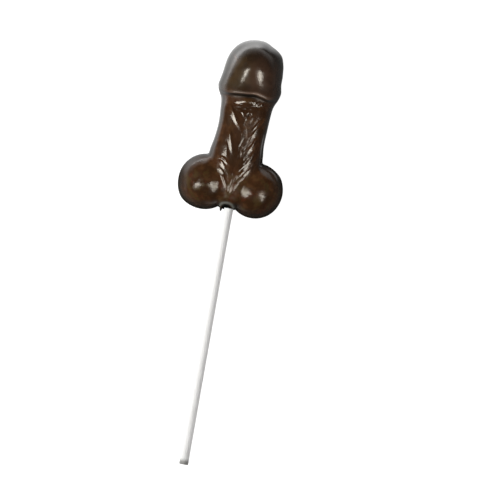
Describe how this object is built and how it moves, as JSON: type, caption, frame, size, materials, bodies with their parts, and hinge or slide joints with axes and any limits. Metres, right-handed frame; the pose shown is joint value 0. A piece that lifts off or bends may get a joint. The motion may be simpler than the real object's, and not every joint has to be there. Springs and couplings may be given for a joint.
{
  "type": "chocolate lollipop",
  "caption": "Adult novelty lollipop of moulded dark chocolate, with two round lobes, a folded shaft and a rimmed, domed head, lying on its flat back on a straight white paper stick.",
  "frame": {"origin": "middle of the whole lollipop's bounding box, on the plane of its flat back", "axes": "+Y up the stick to the chocolate's tip, +Z out of the moulded front, +X to the right of someone who faces that front with the tip upwards"},
  "size_m": [0.047, 0.1912, 0.0149],
  "materials": {
    "dark_chocolate": "gloss",
    "white_paper": "matte"
  },
  "bodies": {
    "root": {"chocolate": "dark_chocolate", "stick": "white_paper"}
  },
  "joints": []
}
